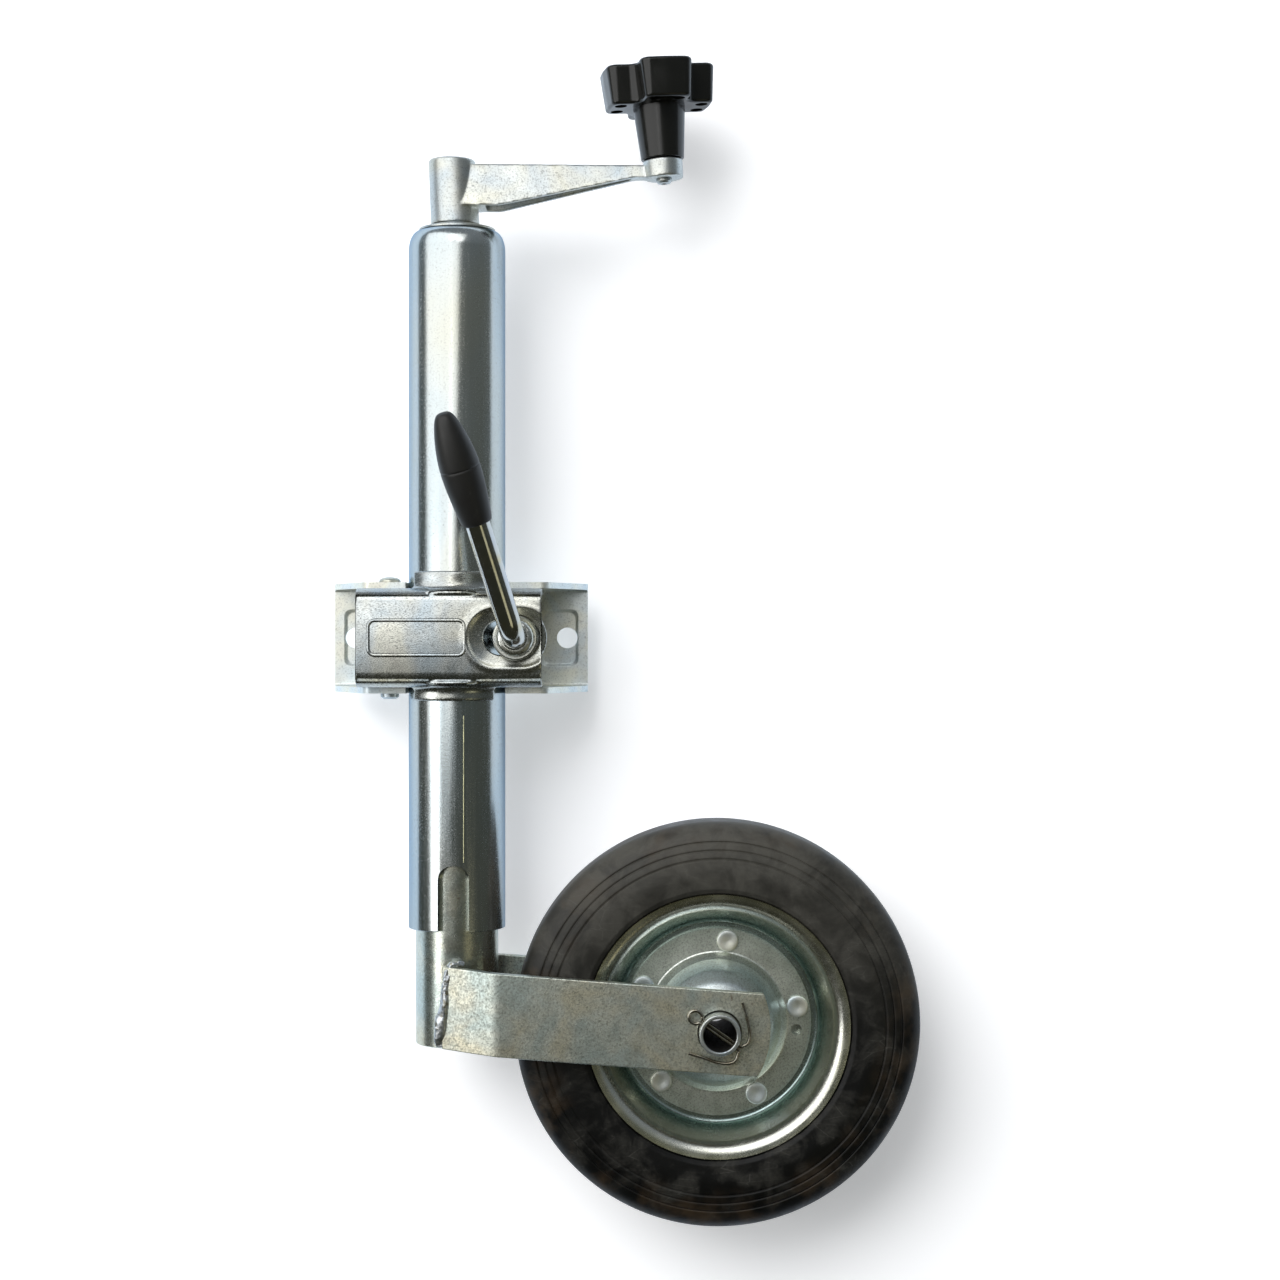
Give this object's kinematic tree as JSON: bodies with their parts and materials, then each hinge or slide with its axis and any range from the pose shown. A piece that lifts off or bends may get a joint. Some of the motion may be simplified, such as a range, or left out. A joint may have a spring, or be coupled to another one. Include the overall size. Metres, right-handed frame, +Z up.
{
  "type": "trailer tongue jack",
  "caption": "Telescopic jack tube with a cranked screw on top and a forked rubber wheel below, held in a hinged lever clamp with a flat bolted back.",
  "frame": {"origin": "centre of the flat mounting face on the back of the clamp bracket", "axes": "+Y is the outward normal of that mounting face, towards the trailer's drawbar; +Z is up along the jack tube; +X points from the tube towards the wheel"},
  "size_m": [0.2945, 0.1331, 0.5763],
  "materials": {
    "zinc_bright": "bright zinc plate, satin, with a faint blue and yellow cast",
    "zinc_dull": "dull mottled zinc plate",
    "bare_steel": "machined steel, greased",
    "stained_steel": "plain steel with brown surface stain",
    "knob_plastic": "satin black moulded plastic",
    "grip_plastic": "soft matt black moulded plastic",
    "tyre_rubber": "solid black rubber, dusty and scuffed"
  },
  "bodies": {
    "clamp_base": {"clamp_bracket": "zinc_bright", "clamp_hinge_pin": "zinc_bright", "clamp_nut": "bare_steel"},
    "jaw": {"clamp_jaw": "zinc_bright"},
    "lever_seat": {"lever_washer": "zinc_bright"},
    "lever": {"lever_rod": "zinc_bright", "lever_collar": "zinc_bright", "lever_grip": "grip_plastic"},
    "jack_tube": {"outer_tube": "zinc_bright", "top_bush": "bare_steel", "bearing_race_upper": "bare_steel"},
    "crank": {"spindle": "bare_steel", "crank_arm": "zinc_bright", "crank_pin": "bare_steel", "dust_cap": "zinc_bright", "bearing_race_lower": "bare_steel", "knob_pin": "zinc_bright"},
    "knob": {"crank_knob": "knob_plastic"},
    "thrust_bearing": {"ball_cage": "bare_steel"},
    "screw_nut": {"spindle_nut": "bare_steel"},
    "fork": {"inner_tube": "zinc_dull", "fork_arm_front": "zinc_dull", "fork_arm_rear": "zinc_dull", "axle_tube": "zinc_bright", "cotter_pin_front": "zinc_bright", "cotter_pin_rear": "zinc_bright", "axle_washer_front": "stained_steel", "axle_washer_rear": "stained_steel"},
    "wheel": {"tyre": "tyre_rubber", "rim_half_front": "zinc_bright", "rim_half_rear": "zinc_bright", "hub_disc_front": "zinc_bright", "hub_disc_rear": "zinc_bright", "hub_sleeve": "bare_steel", "rim_rivet_1": "zinc_bright", "rim_rivet_2": "zinc_bright", "rim_rivet_3": "zinc_bright", "rim_rivet_4": "zinc_bright", "rim_rivet_5": "zinc_bright"}
  },
  "joints": [
    {"name": "jaw_swing", "type": "hinge", "parent": "clamp_base", "child": "jaw", "pos_m": [-0.0335, -0.031, 0], "axis": [0, 0, -1], "range_deg": [0, 1.73]},
    {"name": "lever_travel", "type": "slide", "parent": "clamp_base", "child": "lever_seat", "axis": [0, -1, 0], "range_m": [0, 0.00263]},
    {"name": "lever_turn", "type": "hinge", "parent": "lever_seat", "child": "lever", "pos_m": [0.0307, -0.031, 0], "axis": [0, -1, 0], "range_deg": [0, 540]},
    {"name": "jack_slide", "type": "slide", "parent": "clamp_base", "child": "jack_tube", "axis": [0, 0, 1], "range_m": [-0.095, 0.065]},
    {"name": "crank_turn", "type": "hinge", "parent": "jack_tube", "child": "crank", "pos_m": [0, -0.031, 0.2], "axis": [0, 0, 1], "range_deg": [-11520, 1080]},
    {"name": "knob_spin", "type": "hinge", "parent": "crank", "child": "knob", "pos_m": [0.1028, -0.031, 0.233], "axis": [-0.0698, 0, 0.9976], "continuous": true},
    {"name": "bearing_roll", "type": "hinge", "parent": "jack_tube", "child": "thrust_bearing", "pos_m": [0, -0.031, 0.171], "axis": [0, 0, 1], "range_deg": [-5760, 540]},
    {"name": "screw_travel", "type": "slide", "parent": "jack_tube", "child": "screw_nut", "axis": [0, 0, 1], "range_m": [-0.16, 0.015]},
    {"name": "fork_swivel", "type": "hinge", "parent": "screw_nut", "child": "fork", "pos_m": [0, -0.031, 0], "axis": [0, 0, 1], "continuous": true},
    {"name": "wheel_spin", "type": "hinge", "parent": "fork", "child": "wheel", "pos_m": [0.1295, -0.031, -0.1905], "axis": [0, 1, 0], "continuous": true}
  ],
  "couplings": [
    {"joint": "jaw_swing", "follows": "lever_turn", "ratio": 0.0032},
    {"joint": "lever_travel", "follows": "lever_turn", "m_per_rad": 0.0002785},
    {"joint": "bearing_roll", "follows": "crank_turn", "ratio": 0.5},
    {"joint": "screw_travel", "follows": "crank_turn", "m_per_rad": 0.0007957}
  ]
}
